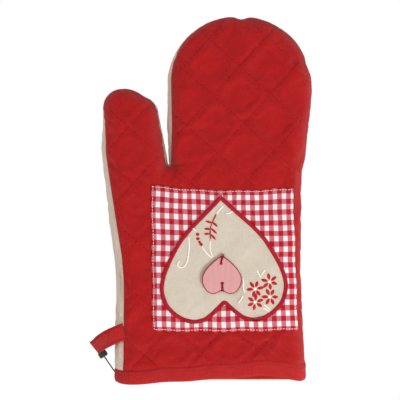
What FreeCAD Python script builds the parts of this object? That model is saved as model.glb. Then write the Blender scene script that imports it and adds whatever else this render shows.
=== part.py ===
"""Quilted oven mitt lying on its palm side, in millimetres.

+Y runs from the cuff to the fingertips, +Z is up from the surface it lies on, and the thumb is on the -X side.
The origin is the centre of the footprint. The mitt is a closed bag of three cloth layers (outer cotton, wadding,
lining) with a slanted mouth at the cuff. The front and back halves meet at a side seam that runs high on the
thumb side and low on the other. Each half is divided at the finger crease and the thumb crease, where it bends.
"""

import FreeCAD
import Part
import math
import os

V = FreeCAD.Vector

# Overall size
LENGTH = 300.0
THICKNESS = 34.0
TOP = LENGTH / 2
MOUTH = -LENGTH / 2
EDGE_ROUND = 15.0

# Layers, from the outside in
COTTON = 0.8
WADDING = 5.4
LINING = 0.8
WALL = COTTON + WADDING + LINING

# Cuff
MOUTH_SLANT = 5.0
BINDING_OUTSIDE = 11.5
BINDING_INSIDE = 9.0

# Side seam: how far up the rounded edge it runs, as an angle above the level of the widest point, is the last
# number of each corner of the outline. The lining is a bag of its own with its seam half-way up.
SEAM_REACH = 0.2
LINING_SEAM = THICKNESS / 2

# Creases where the mitt bends; both start in the notch, just above its bottom
CROTCH = V(-25.7, 30.3, 0)
NOTCH_MIDDLE = [(-28.3, 60), (-30.0, 300)]
CREASE_GAP = 0.4
THUMB_CREASE_TILT = 13.3

# Outline of the bag, as corners (x, y, radius of the curve that rounds it, seam angle)
OUTLINE = [
    (-70.0, MOUTH - 45, 26, 57),
    (-69.0, -62, 260, 57),
    (-80.5, 40, 90, 36),
    (-79.0, 91.0, 16, 8),
    (-56.0, 91.0, 24, 3),
    (-35.5, 79.5, 16, 3),
    (-24.88, 22.4, 0.5, 16),
    (-26.6, 60, 60, 36),
    (-26.0, TOP, 56, 28),
    (92.0, TOP, 58, 3),
    (91.5, 84, 120, 3),
    (83.0, 8, 260, 3),
    (82.5, -62, 300, 3),
    (88.5, MOUTH - 45, 26, 3),
]

# Patch and heart on the front
PATCH = [(-40.0, 12.0), (17.0, 9.0), (74.8, 9.8), (79.0, -105.0), (20.0, -106.4), (-38.2, -105.8)]
PATCH_THICK = 0.6
APPLIQUE_THICK = 0.6
HEART_TIP = V(16.5, 3.9, 0)
HEART_TURN = 2.1
HEART_HALF = [
    (12.5, -12.2), (25.5, -24.6), (35.0, -35.6), (42.5, -48.0), (48.3, -60.0), (51.3, -71.0), (50.9, -79.4),
    (47.5, -88.6), (41.0, -95.8), (33.0, -100.8), (24.5, -102.7), (15.5, -101.0), (8.0, -95.6), (0.0, -88.0),
]
BORDER_WIDE = 2.6
BORDER_HIGH = 1.3
BUTTON_TIP = V(17.6, -44.7, 0)
BUTTON_TURN = 0.0
BUTTON_HALF = [
    (3.6, -2.2), (7.5, -5.4), (12.5, -10.6), (15.2, -15.4), (16.0, -20.0), (14.6, -25.2), (11.6, -29.2),
    (8.0, -30.8), (4.0, -30.2), (0.0, -27.8),
]
BUTTON_THICK = 3.0
HOLE_RADIUS = 0.9
HOLES = [V(16.8, -51.0, 0), V(17.9, -66.9, 0)]
THREAD = 0.7
THREAD_SLACK = 0.4
EMBROIDERY_HIGH = 0.5

# Hanging loop of folded tape in the thumb-side seam
TAPE_WIDE = 11.5
TAPE_THICK = 1.2
LOOP_ROOT = V(-63.3, -107.0, 32.9)
LOOP_TURN = 32.0
# Inside of the folded tape seen from its edge, as corners (away from the seam, up, radius)
LOOP_EYE = [
    (-0.8, 0.05, 0.04),
    (-5.8, -0.5, 3),
    (-11.2, -6.5, 8),
    (-22.7, -30.8, 2.3),
    (-28.4, -30.8, 2.6),
    (-28.1, -19, 12),
    (-11.6, -0.1, 7),
]

# Tag on a cord, with its plastic lock beside the end of the loop
CORD = 1.0
CORD_ROUTE = [
    (-79.1, -129.9, 4.4),
    (-74.0, -137.8, 2.4),
    (-68.8, -145.2, 2.6),
    (-63.4, -147.8, 5.8),
    (-56.8, -147.6, 10.6),
    (-51.0, -143.0, 11.4),
    (-47.6, -137.8, 7.9),
]
LOCK = V(7.0, 5.2, 6.0)
LOCK_CENTRE = V(-80.55, -127.62, 4.4)
TAG = (-52.0, -20.0, -141.5, -90.0)
TAG_THICK = 0.6
TAG_HOLE = 1.1


def rounded_wire(corners, z=0.0):
    """Closed wire of straight runs joined by tangent arcs, one at each (x, y, radius) corner."""
    count = len(corners)
    starts, arcs = [], []
    for i, (x, y, radius) in enumerate(corners):
        here = V(x, y, z)
        back = V(*corners[i - 1][:2], z) - here
        ahead = V(*corners[(i + 1) % count][:2], z) - here
        back.normalize()
        ahead.normalize()
        turn = math.pi - back.getAngle(ahead)
        reach = radius * math.tan(turn / 2)
        first, last = here + back * reach, here + ahead * reach
        middle = (back + ahead).normalize()
        mid = here + middle * (radius / math.cos(turn / 2) - radius)
        starts.append((first, last))
        arcs.append(Part.Arc(first, mid, last).toShape())
    edges = []
    for i in range(count):
        edges.append(arcs[i])
        edges.append(Part.LineSegment(starts[i][1], starts[(i + 1) % count][0]).toShape())
    return Part.Wire(edges)


def tube(points, radius):
    """Round solid along straight runs joined by the largest tangent arcs, and the list of those arcs' radii."""
    points = [V(*p) for p in points]
    edges, radii = [], []
    at = points[0]
    for before, here, after in zip(points, points[1:], points[2:]):
        back, ahead = before - here, after - here
        turn = math.pi - back.getAngle(ahead)
        reach = 0.45 * min(back.Length, ahead.Length)
        bend = reach / math.tan(turn / 2)
        back.normalize()
        ahead.normalize()
        first, last = here + back * reach, here + ahead * reach
        mid = here + (back + ahead).normalize() * (bend / math.cos(turn / 2) - bend)
        edges.append(Part.LineSegment(at, first).toShape())
        edges.append(Part.Arc(first, mid, last).toShape())
        radii.append(round(bend, 1))
        at = last
    edges.append(Part.LineSegment(at, points[-1]).toShape())
    path = Part.Wire(edges)
    section = Part.Wire([Part.makeCircle(radius, points[0], points[1] - points[0])])
    solid = path.makePipeShell([section], True, True)
    print(f"tube {path.Length:.1f} long, volume over section x length", end=" ")
    print(f"{solid.Volume / (math.pi * radius**2 * path.Length):.4f}, bend radii {radii}")
    return solid


def bag(inset, corners=OUTLINE):
    """The bag's outside, pulled in by inset on every side."""
    wire = rounded_wire([corner[:3] for corner in corners])
    if inset:
        wire = wire.makeOffset2D(-inset)
    thick = THICKNESS - 2 * inset
    solid = Part.Face(wire).extrude(V(0, 0, thick))
    solid.translate(V(0, 0, inset))
    ends = (inset, inset + thick)
    rims = [e for e in solid.Edges if any(all(abs(v.Point.z - z) < 1e-6 for v in e.Vertexes) for z in ends)]
    return solid.makeFillet(EDGE_ROUND - inset, rims)


def block(x0, x1, y0, y1, z0, z1):
    return Part.makeBox(x1 - x0, y1 - y0, z1 - z0, V(x0, y0, z0))


def past_mouth(distance):
    """Everything on the finger side of the slanted mouth plane, moved in by distance."""
    room = block(-200, 200, 0, 400, -100, 150)
    lean = math.degrees(math.atan2(MOUTH_SLANT, THICKNESS))
    room.rotate(V(0, 0, 0), V(1, 0, 0), lean)
    room.translate(V(0, MOUTH + MOUTH_SLANT + distance, 0))
    return room


def front_side():
    """Everything above the side seam, which crosses the wall square to its surface all the way round."""
    wire = rounded_wire([corner[:3] for corner in OUTLINE])
    angles = [corner[3] for corner in OUTLINE]
    count = len(angles)
    arcs, runs = wire.OrderedEdges[0::2], wire.OrderedEdges[1::2]
    axis, lip = [], []
    for i in range(count):
        here, after = angles[i], angles[(i + 1) % count]
        arc, run = arcs[i], runs[i]
        total = run.Length
        for edge, steps in ((arc, 9 if arc.Length > 12 else 7), (run, max(3, int(total / 9)))):
            for k in range(steps):
                part = (k + 0.5) / steps
                at = edge.valueAt(edge.getParameterByLength(edge.Length * part))
                along = edge.tangentAt(edge.getParameterByLength(edge.Length * part))
                out = V(-along.y, along.x, 0)
                seam = math.radians(here if edge is arc else here + (after - here) * part)
                centre = at - out * EDGE_ROUND + V(0, 0, THICKNESS - EDGE_ROUND)
                reach = EDGE_ROUND + SEAM_REACH
                axis.append(centre)
                lip.append(centre + out * (reach * math.cos(seam)) + V(0, 0, reach * math.sin(seam)))
    level = [V(p.x, p.y, 80) for p in lip]

    def closed(points):
        curve = Part.BSplineCurve()
        curve.interpolate(Points=points, PeriodicFlag=True)
        return Part.Wire([curve.toShape()])

    low, rim, high = closed(axis), closed(lip), closed(level)
    skins = [Part.makeRuledSurface(low, rim), Part.makeRuledSurface(rim, high), Part.Face(low), Part.Face(high)]
    faces = [f for skin in skins for f in skin.Faces]
    shell = Part.Shell(faces)
    shell.sewShape()
    solid = Part.Solid(shell)
    if solid.Volume < 0:
        solid.reverse()
    return solid


def thumb_way():
    """Direction from the crotch along the thumb crease."""
    tilt = math.radians(THUMB_CREASE_TILT)
    return V(-math.cos(tilt), -math.sin(tilt), 0)


def column(points):
    """Tall solid on a polygon of (x, y) points."""
    corners = [V(x, y, -50) for x, y in points]
    return Part.Face(Part.makePolygon(corners + corners[:1])).extrude(V(0, 0, 200))


def regions():
    """Spaces of the three bodies: fingers, thumb and palm, with the crease gap between them."""
    way = thumb_way()
    side = V(way.y, -way.x, 0)
    start = CROTCH

    def finger_space(gap):
        y = CROTCH.y + gap
        return column([(CROTCH.x, y), (300, y), (300, 300), NOTCH_MIDDLE[1], NOTCH_MIDDLE[0]])

    def thumb_space(gap):
        near, far = start + side * gap, start + way * 250 + side * gap
        return column([(near.x, near.y), NOTCH_MIDDLE[0], NOTCH_MIDDLE[1], (-300, 300), (far.x, far.y)])

    gap = CREASE_GAP / 2
    palm = block(-300, 300, -300, 300, -50, 150).cut(finger_space(-gap)).cut(thumb_space(-gap))
    return {"fingers": finger_space(gap), "thumb": thumb_space(gap), "palm": palm}


def heart(half, tip, turn, z, inset=0.0):
    """Flat face of a heart with its point up, from the points down its right half."""
    right = Part.BSplineCurve()
    right.interpolate([V(0, 0, 0)] + [V(x, y, 0) for x, y in half])
    if inset:
        points = []
        for k in range(41):
            at = right.FirstParameter + (right.LastParameter - right.FirstParameter) * k / 40
            along = right.tangent(at)[0]
            points.append(right.value(at) + V(along.y, -along.x, 0) * inset)
        before = [p for p in points if p.x <= 0][-1]
        points = [p for p in points if p.x > 0.4]
        start = before.y + (points[0].y - before.y) * (0 - before.x) / (points[0].x - before.x)
        points = [V(0, start, 0)] + points[::2] + [V(0, half[-1][1] + inset, 0)]
        right = Part.BSplineCurve()
        right.interpolate(points)
    edge = right.toShape()
    face = Part.Face(Part.Wire([edge, edge.mirror(V(0, 0, 0), V(1, 0, 0))]))
    face.rotate(V(0, 0, 0), V(0, 0, 1), turn)
    face.translate(tip + V(0, 0, z))
    return face


def slab(face, thick):
    return face.extrude(V(0, 0, thick))


def stroke(points, width, z, high):
    """Flat raised line of thread along a chain of points."""
    pieces = []
    for a, b in zip(points, points[1:]):
        a, b = V(a[0], a[1], z), V(b[0], b[1], z)
        along = (b - a).normalize()
        across = V(-along.y, along.x, 0) * (width / 2)
        run = Part.Face(Part.makePolygon([a + across, b + across, b - across, a - across, a + across]))
        pieces += [slab(run, high), Part.makeCylinder(width / 2, high, b)]
    pieces.append(Part.makeCylinder(width / 2, high, V(points[0][0], points[0][1], z)))
    return pieces[0].fuse(pieces[1:]).removeSplitter()


def leaf(x, y, angle, long, wide, z, high):
    """Pointed leaf or petal that starts at (x, y) and lies at angle degrees."""
    tip = V(long, 0, z)
    start = V(0, 0, z)
    up = Part.Arc(start, V(long / 2, wide / 2, z), tip).toShape()
    down = Part.Arc(tip, V(long / 2, -wide / 2, z), start).toShape()
    solid = slab(Part.Face(Part.Wire([up, down])), high)
    solid.rotate(V(0, 0, 0), V(0, 0, 1), angle)
    solid.translate(V(x, y, 0))
    return solid


def make_layers():
    """The cloth layers of the bag, each cut into front and back, and into palm, fingers and thumb."""
    outside = bag(0)
    under_cotton = bag(COTTON)
    under_wadding = bag(COTTON + WADDING)
    inside = bag(WALL)
    layers = {
        "panel": (outside.cut(under_cotton), BINDING_OUTSIDE),
        "wadding": (under_cotton.cut(under_wadding), LINING),
        "lining": (under_wadding.cut(inside), BINDING_INSIDE),
    }
    front = front_side()
    spaces = regions()
    made = {}
    for layer, (shell, start) in layers.items():
        shell = shell.common(past_mouth(start))
        upper = block(-300, 300, -300, 300, LINING_SEAM, 100) if layer == "lining" else front
        for side, half in (("front", shell.common(upper)), ("back", shell.cut(upper))):
            for body, space in spaces.items():
                pieces = half.common(space).Solids
                made[f"{side}_{layer}_{body}"] = max(pieces, key=lambda solid: solid.Volume)
    return made


def make_binding():
    """Folded strip round the mouth: an outside band, the end fold, and an inside band."""
    outer = bag(0).cut(bag(COTTON)).common(past_mouth(0)).cut(past_mouth(BINDING_OUTSIDE))
    end = bag(0).cut(bag(WALL)).common(past_mouth(0)).cut(past_mouth(LINING))
    inner = bag(COTTON + WADDING).cut(bag(WALL)).common(past_mouth(0)).cut(past_mouth(BINDING_INSIDE))
    return outer.fuse([end, inner]).removeSplitter()


def skin(low, high):
    """Layer over the front, from low to high above it, that also follows the rounded edge on the +X side."""
    corners = OUTLINE[:1] + [(-70.0, TOP, 30, 0)] + OUTLINE[9:]
    return bag(-high, corners).cut(bag(-low, corners))


def make_front_trims():
    """Patch, applique heart, its satin-stitched border, and the wooden button with its two holes."""
    room = column(PATCH).common(block(-100, 100, -200, 100, THICKNESS / 2 + 5, 50))
    patch = skin(0, PATCH_THICK).common(room)
    inner = slab(heart(HEART_HALF, HEART_TIP, HEART_TURN, THICKNESS - 5, BORDER_WIDE), 20)
    outer = slab(heart(HEART_HALF, HEART_TIP, HEART_TURN, THICKNESS - 5), 20)
    applique = skin(PATCH_THICK, PATCH_THICK + APPLIQUE_THICK).common(inner)
    border = skin(PATCH_THICK, PATCH_THICK + BORDER_HIGH).common(outer.cut(inner))
    base = THICKNESS + PATCH_THICK + APPLIQUE_THICK
    button = slab(heart(BUTTON_HALF, BUTTON_TIP, BUTTON_TURN, base), BUTTON_THICK)
    for hole in HOLES:
        button = button.cut(Part.makeCylinder(HOLE_RADIUS, 20, V(hole.x, hole.y, THICKNESS)))
    return {"gingham_patch": patch, "heart_applique": applique, "heart_border": border, "heart_button": button}


def make_button_threads():
    """Two stitches: each rises through a hole, crosses just above the button and goes down past its edge."""
    low = THICKNESS + PATCH_THICK + APPLIQUE_THICK
    high = low + BUTTON_THICK + THREAD / 2 + THREAD_SLACK
    tip = V(BUTTON_TIP.x, BUTTON_TIP.y + 1.2, 0)
    notch = V(BUTTON_TIP.x, BUTTON_TIP.y + BUTTON_HALF[-1][1] - 1.0, 0)
    stitches = []
    for hole, edge in zip(HOLES, (tip, notch)):
        route = [(hole.x, hole.y, low), (hole.x, hole.y, high), (edge.x, edge.y, high), (edge.x, edge.y, low)]
        stitches.append(tube(route, THREAD / 2))
    return Part.makeCompound(stitches)


def make_sprig(z):
    """Stem with paired leaves."""
    stem = [(13.0, -11.6), (10.0, -17.6), (8.5, -22.2), (8.0, -27.0), (8.5, -31.6)]
    leaves = [
        (9.6, -18.4, 165, 5.2), (9.6, -17.6, -42, 5.6), (8.7, -23.2, 186, 5.0), (8.7, -22.8, -43, 6.4),
        (8.1, -27.2, 184, 4.6), (8.2, -27.4, -47, 6.0),
    ]
    solid = stroke(stem, 0.9, z, EMBROIDERY_HIGH)
    return solid.fuse([leaf(x, y, a, long, 1.9, z, EMBROIDERY_HIGH) for x, y, a, long in leaves])


def make_buds(z):
    """Row of four buds on the second stem."""
    buds = [(-3.0, -27.2), (-1.8, -30.0), (-0.9, -32.6), (0.1, -35.0)]
    return Part.makeCompound([leaf(x, y, -62, 2.6, 2.2, z, EMBROIDERY_HIGH) for x, y in buds])


def make_flowers(z):
    """Four open flowers, each a ring of loose petals."""
    flowers = [(44.5, -71.7, 10), (56.1, -65.8, 40), (44.5, -82.4, 25), (56.6, -78.0, 0)]
    petals = []
    for x, y, start in flowers:
        for k in range(6):
            turn = math.radians(start + 60 * k)
            foot = (x + 2.4 * math.cos(turn), y + 2.4 * math.sin(turn))
            petals.append(leaf(*foot, start + 60 * k, 3.2, 1.7, z, EMBROIDERY_HIGH))
    return Part.makeCompound(petals)


def make_scrolls(z):
    """Pale thread stems and curls."""
    lines = [
        [(1.6, -38.2), (5.6, -43.0), (9.4, -46.4)],
        [(8.2, -33.4), (8.2, -38.6), (10.4, -45.0)],
        [(-9.0, -30.0), (-9.0, -42.0), (-11.0, -50.0), (-15.0, -54.4), (-18.0, -52.4), (-16.4, -49.6)],
        [(52.0, -56.6), (49.4, -60.0)],
        [(35.4, -62.6), (35.0, -69.8)],
    ]
    return Part.makeCompound([stroke(line, 0.7, z, EMBROIDERY_HIGH) for line in lines])


def make_loop():
    """Folded tape that swings at the seam: a barrel there, and two layers that part round an open eye."""
    eye = rounded_wire(LOOP_EYE)
    ring = Part.Face(eye.makeOffset2D(TAPE_THICK)).cut(Part.Face(eye))
    ring.rotate(V(0, 0, 0), V(1, 0, 0), 90)
    strip = ring.extrude(V(0, TAPE_WIDE, 0))
    strip.translate(V(0, -TAPE_WIDE / 2, 0))
    strip.rotate(V(0, 0, 0), V(0, 0, 1), LOOP_TURN)
    strip = strip.common(block(-100, 0, -100, 100, -100, 100))
    barrel = Part.makeCylinder(TAPE_THICK, TAPE_WIDE + 2, V(0, -TAPE_WIDE / 2 - 1, 0), V(0, 1, 0))
    loop = strip.fuse(barrel).removeSplitter()
    loop.translate(LOOP_ROOT)
    return loop


def make_lock():
    """Plastic lock of the tag's cord, a small block beside the folded end of the loop."""
    body = block(-LOCK.x / 2, LOCK.x / 2, -LOCK.y / 2, LOCK.y / 2, -LOCK.z / 2, LOCK.z / 2)
    body = body.makeFillet(0.8, [e for e in body.Edges if e.CenterOfMass.y < LOCK.y / 2 - 0.1])
    body.rotate(V(0, 0, 0), V(0, 0, 1), LOOP_TURN)
    body.translate(LOCK_CENTRE)
    return body


def make_tag():
    """Blank card tucked in the mouth, with a round hole for the cord."""
    x0, x1, y0, y1 = TAG
    card = block(x0, x1, y0, y1, WALL, WALL + TAG_THICK)
    upright = [e for e in card.Edges if abs(e.Vertexes[0].Point.z - e.Vertexes[-1].Point.z) > TAG_THICK / 2]
    card = card.makeFillet(3.0, upright)
    end = CORD_ROUTE[-1]
    return card.cut(Part.makeCylinder(TAG_HOLE, 10, V(end[0], end[1], 0)))


def main():
    os.makedirs("parts", exist_ok=True)
    parts = make_layers()
    parts["cuff_binding"] = make_binding()
    parts.update(make_front_trims())
    parts["button_threads"] = make_button_threads()
    cloth_top = THICKNESS + PATCH_THICK + APPLIQUE_THICK
    parts["embroidered_sprig"] = make_sprig(cloth_top)
    parts["embroidered_buds"] = make_buds(cloth_top)
    parts["embroidered_flowers"] = make_flowers(cloth_top)
    parts["embroidered_scrolls"] = make_scrolls(cloth_top)
    parts["hanging_loop"] = make_loop()
    parts["tag_lock"] = make_lock()
    parts["tag_cord"] = tube(CORD_ROUTE, CORD / 2)
    parts["hang_tag"] = make_tag()
    for name, shape in parts.items():
        box = shape.optimalBoundingBox(True, False) if shape.Solids else shape.BoundBox
        print(
            f"{name}: valid {shape.isValid()}, solids {len(shape.Solids)}, volume {shape.Volume:.0f}, "
            f"x {box.XMin:.1f} {box.XMax:.1f}, y {box.YMin:.1f} {box.YMax:.1f}, z {box.ZMin:.1f} {box.ZMax:.1f}"
        )
        shape.exportStep(f"parts/{name}.step")


main()
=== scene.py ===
import math

import bmesh
import bpy
import numpy as np
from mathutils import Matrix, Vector, geometry
from mathutils.bvhtree import BVHTree


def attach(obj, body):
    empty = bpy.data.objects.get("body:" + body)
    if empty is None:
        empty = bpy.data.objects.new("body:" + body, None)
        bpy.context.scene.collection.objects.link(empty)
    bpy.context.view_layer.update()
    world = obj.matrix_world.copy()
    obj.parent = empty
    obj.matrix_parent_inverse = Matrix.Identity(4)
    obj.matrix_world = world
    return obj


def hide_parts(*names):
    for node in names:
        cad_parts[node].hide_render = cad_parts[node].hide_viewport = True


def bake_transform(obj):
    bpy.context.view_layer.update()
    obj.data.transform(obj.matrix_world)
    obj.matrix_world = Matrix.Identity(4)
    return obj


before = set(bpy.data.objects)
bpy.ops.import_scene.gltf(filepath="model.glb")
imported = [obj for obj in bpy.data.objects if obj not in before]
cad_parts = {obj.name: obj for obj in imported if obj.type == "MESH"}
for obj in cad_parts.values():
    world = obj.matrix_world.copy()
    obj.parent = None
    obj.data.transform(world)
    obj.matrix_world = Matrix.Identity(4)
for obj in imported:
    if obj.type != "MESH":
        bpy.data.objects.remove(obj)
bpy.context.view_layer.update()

scene = bpy.context.scene
mm = 0.001
rng = np.random.default_rng(7)


# Maths on sockets
# Shader and geometry trees are written as sums and products of values. Other nodes come from one method.
class Value:
    """A socket of a node tree that takes + - * / and compares like a number."""

    def __init__(self, tree, socket):
        self.tree, self.socket = tree, socket

    def node(self, kind, *inputs, out=0, **settings):
        """Adds a node, with inputs in socket order (None leaves one alone), and returns one output."""
        made = self.tree.nodes.new(kind)
        for key, setting in settings.items():
            setattr(made, key, setting)
        for place, item in zip([s for s in made.inputs if s.enabled], inputs):
            if isinstance(item, Value):
                self.tree.links.new(item.socket, place)
            elif item is not None:
                place.default_value = item
        return Value(self.tree, [s for s in made.outputs if s.enabled][out])

    def maths(self, operation, *others):
        return self.node("ShaderNodeMath", self, *others, operation=operation)

    def __add__(self, other):
        return self.maths("ADD", other)

    def __sub__(self, other):
        return self.maths("SUBTRACT", other)

    def __mul__(self, other):
        return self.maths("MULTIPLY", other)

    def __truediv__(self, other):
        return self.maths("DIVIDE", other)

    def __gt__(self, other):
        return self.maths("GREATER_THAN", other)

    def __lt__(self, other):
        return self.maths("LESS_THAN", other)

    def wave(self, period):
        """Sine of the value, once per period, from 0 to 1."""
        return (self * (2 * math.pi / period)).maths("SINE") * 0.5 + 0.5

    def band(self, period, share):
        """1 for the first share of each period, 0 for the rest."""
        return (self / period).maths("FRACT") < share

    def smooth(self, low, high):
        return self.node("ShaderNodeMapRange", self, low, high, 0.0, 1.0, interpolation_type="SMOOTHSTEP")

    def noise(self, scale, detail=2.0, stretch=(1, 1, 1)):
        """Noise from 0 to 1 over a vector value, with so many blobs per metre."""
        place = self.node("ShaderNodeMapping", self, None, None, stretch)
        return self.node("ShaderNodeTexNoise", place, scale, detail, 0.5)

    def mix(self, first, second):
        """Colour first where this value is 0, second where it is 1."""
        made = self.tree.nodes.new("ShaderNodeMix")
        made.data_type = "RGBA"
        self.tree.links.new(self.socket, made.inputs[0])
        for place, item in ((made.inputs[6], first), (made.inputs[7], second)):
            if isinstance(item, Value):
                self.tree.links.new(item.socket, place)
            else:
                place.default_value = (*item, 1)
        return Value(self.tree, made.outputs[2])


def srgb(red, green, blue):
    """Linear colour from 0 to 255 values as seen on a screen."""
    return tuple(c / 3294.6 if c < 10.3 else ((c / 255 + 0.055) / 1.055) ** 2.4 for c in (red, green, blue))


def material(name, paint, rough=0.95, sheen=0.0, bump=0.0, gloss=0.05):
    """A surface whose look comes from paint.

    paint takes the flat cloth coordinates, in metres, and returns a colour and a height."""
    made = bpy.data.materials.new(name)
    made.use_nodes = True
    tree = made.node_tree
    shader = tree.nodes["Principled BSDF"]
    flat = Value(tree, tree.nodes.new("ShaderNodeTexCoord").outputs["UV"])
    colour, height = paint(flat)
    if isinstance(colour, Value):
        tree.links.new(colour.socket, shader.inputs["Base Color"])
    else:
        shader.inputs["Base Color"].default_value = (*colour, 1)
    shader.inputs["Roughness"].default_value = rough
    shader.inputs["Specular IOR Level"].default_value = gloss
    shader.inputs["Sheen Weight"].default_value = sheen
    if height is not None:
        relief = tree.nodes.new("ShaderNodeBump")
        relief.inputs["Distance"].default_value = bump
        tree.links.new(height.socket, relief.inputs["Height"])
        tree.links.new(relief.outputs[0], shader.inputs["Normal"])
    return made


def axes(flat):
    """The two flat coordinates of a vector value."""
    return flat.node("ShaderNodeSeparateXYZ", flat), flat.node("ShaderNodeSeparateXYZ", flat, out=1)


# Cloths and threads
# Each is woven or spun in the shader: a thread-scale weave for the bump, and a slow drift in colour.
def plain_weave(colour, deep, pitch=0.0006):
    def paint(flat):
        u, v = axes(flat)
        cloudy = flat.noise(60.0, 3.0).smooth(0.3, 0.7)
        slub = flat.noise(900.0, 2.0, (1, 0.2, 1)) * 0.5 + flat.noise(900.0, 2.0, (0.2, 1, 1)) * 0.5
        weave = u.wave(pitch) * v.wave(pitch) + slub * 1.2
        tone = cloudy * 0.35 + slub.smooth(0.35, 0.65) * 0.65
        return tone.mix(deep, colour), weave

    return paint


def check_weave(flat):
    """Red and white gingham, 7.3 by 8.7 mm, dark where red crosses red and mixed where it crosses white."""
    u, v = axes(flat)
    drift = (flat.noise(45.0, 2.0) - 0.5) * 0.0012
    across = (u + drift).band(0.0073, 0.52)
    along = (v + drift).band(0.0087, 0.5)
    slub = flat.noise(1300.0, 2.0)
    weave = u.wave(0.0007) * v.wave(0.0007) + slub
    red = (across + along) * 0.5
    pale = (red > 0.2).mix(srgb(236, 228, 228), srgb(200, 112, 122))
    full = (red > 0.8).mix(pale, srgb(178, 30, 44))
    return full, weave


def twisted(colour, deep):
    def paint(flat):
        u, v = axes(flat)
        ply = (u + v * 1.6).wave(0.0009)
        return ply.mix(deep, colour), ply

    return paint


def plain(colour):
    return lambda flat: (colour, None)


red_weave = plain_weave(srgb(184, 28, 28), srgb(168, 20, 22))
red_cotton = material("red_cotton", red_weave, sheen=0.15, bump=0.00025)
cream_cotton = material("cream_cotton", plain_weave(srgb(232, 214, 198), srgb(220, 196, 176)), bump=0.00025)
lining_cotton = material("lining_cotton", plain_weave(srgb(226, 214, 198), srgb(214, 200, 182)), bump=0.0002)
binding_weave = plain_weave(srgb(186, 42, 41), srgb(170, 32, 33))
binding_cotton = material("binding_cotton", binding_weave, sheen=0.1, bump=0.0002)
linen = material("linen", plain_weave(srgb(217, 205, 188), srgb(207, 193, 174), 0.0008), bump=0.0003)
gingham = material("gingham", check_weave, bump=0.0002)
fibre = material("fibre", plain(srgb(236, 232, 224)))
satin = material("satin", twisted(srgb(190, 26, 46), srgb(160, 14, 32)), rough=0.5, gloss=0.15)
# The edge thread's darker red is painted shade: it stands for the shade along the edges of the raised satin
# border.
edge_shade_thread = material("edge_shade_thread", twisted(srgb(172, 20, 38), srgb(138, 10, 26)), rough=0.8)
dark_thread = material("dark_thread", twisted(srgb(150, 16, 34), srgb(112, 8, 22)), rough=0.8)
red_thread = material("red_thread", twisted(srgb(160, 26, 32), srgb(126, 16, 22)), rough=0.8)
cream_thread = material("cream_thread", twisted(srgb(252, 248, 240), srgb(240, 232, 220)), rough=0.7)
card = material("card", plain(srgb(238, 234, 226)))
dark_plastic = material("dark_plastic", plain(srgb(62, 72, 62)), rough=0.4, gloss=0.3)
pale_plastic = material("pale_plastic", plain(srgb(150, 152, 142)), rough=0.45, gloss=0.3)
cord_stuff = material("cord_stuff", plain(srgb(26, 33, 27)), rough=0.7)


def wood_paint(flat):
    """Pink stain over fine straight grain, burnt dark red along the cut edge and round the holes."""
    grain = flat.noise(420.0, 3.0, (1, 0.12, 1))
    pink = grain.smooth(0.2, 0.8).mix(srgb(202, 145, 144), srgb(208, 152, 150))
    burnt = flat.node("ShaderNodeAttribute", attribute_name="burnt", out=2)
    return burnt.smooth(0.25, 0.75).mix(pink, srgb(150, 44, 62)), grain


pink_wood = material("pink_wood", wood_paint, rough=0.6, bump=0.0001)


# Small builders
# Meshes are made in the row frame, in metres, so every object stays at the origin with no rotation or scale.
def new_object(name, data):
    """Object in the scene, at the origin."""
    made = bpy.data.objects.new(name, data)
    scene.collection.objects.link(made)
    return made


def mesh_object(name, verts, faces, stuff, flat=None):
    """Mesh from points and faces, with flat coordinates per point if given."""
    mesh = bpy.data.meshes.new(name)
    mesh.from_pydata([tuple(v) for v in verts], [], [tuple(int(i) for i in f) for f in faces])
    mesh.polygons.foreach_set("use_smooth", [True] * len(mesh.polygons))
    if flat is not None:
        layer = mesh.uv_layers.new(name="flat")
        corner = np.zeros(len(mesh.loops), int)
        mesh.loops.foreach_get("vertex_index", corner)
        layer.data.foreach_set("uv", np.asarray(flat, float)[corner][:, :2].ravel())
    mesh.materials.append(stuff)
    return new_object(name, mesh)


def evaluated(made):
    """Applies the object's modifiers by swapping in its final mesh."""
    bpy.context.view_layer.update()
    final = bpy.data.meshes.new_from_object(made.evaluated_get(bpy.context.evaluated_depsgraph_get()))
    made.modifiers.clear()
    if made.type == "MESH":
        made.data = final
        return made
    name, body = made.name, bpy.data.objects.new("final", final)
    bpy.data.objects.remove(made)
    body.name = name
    scene.collection.objects.link(body)
    return body


def grid_faces(rows, columns, loop=False):
    """Quads of a grid of points listed row by row; loop joins the last column to the first."""
    faces = []
    for i in range(rows - 1):
        for j in range(columns if loop else columns - 1):
            k = (j + 1) % columns
            faces.append((i * columns + j, i * columns + k, (i + 1) * columns + k, (i + 1) * columns + j))
    return faces


def thicken(made, thickness, outward=False):
    """Gives a sheet its thickness, inwards unless outward is set."""
    modifier = made.modifiers.new("thickness", "SOLIDIFY")
    modifier.thickness, modifier.offset = thickness, 1 if outward else -1
    modifier.use_even_offset = False
    return evaluated(made)


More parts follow.
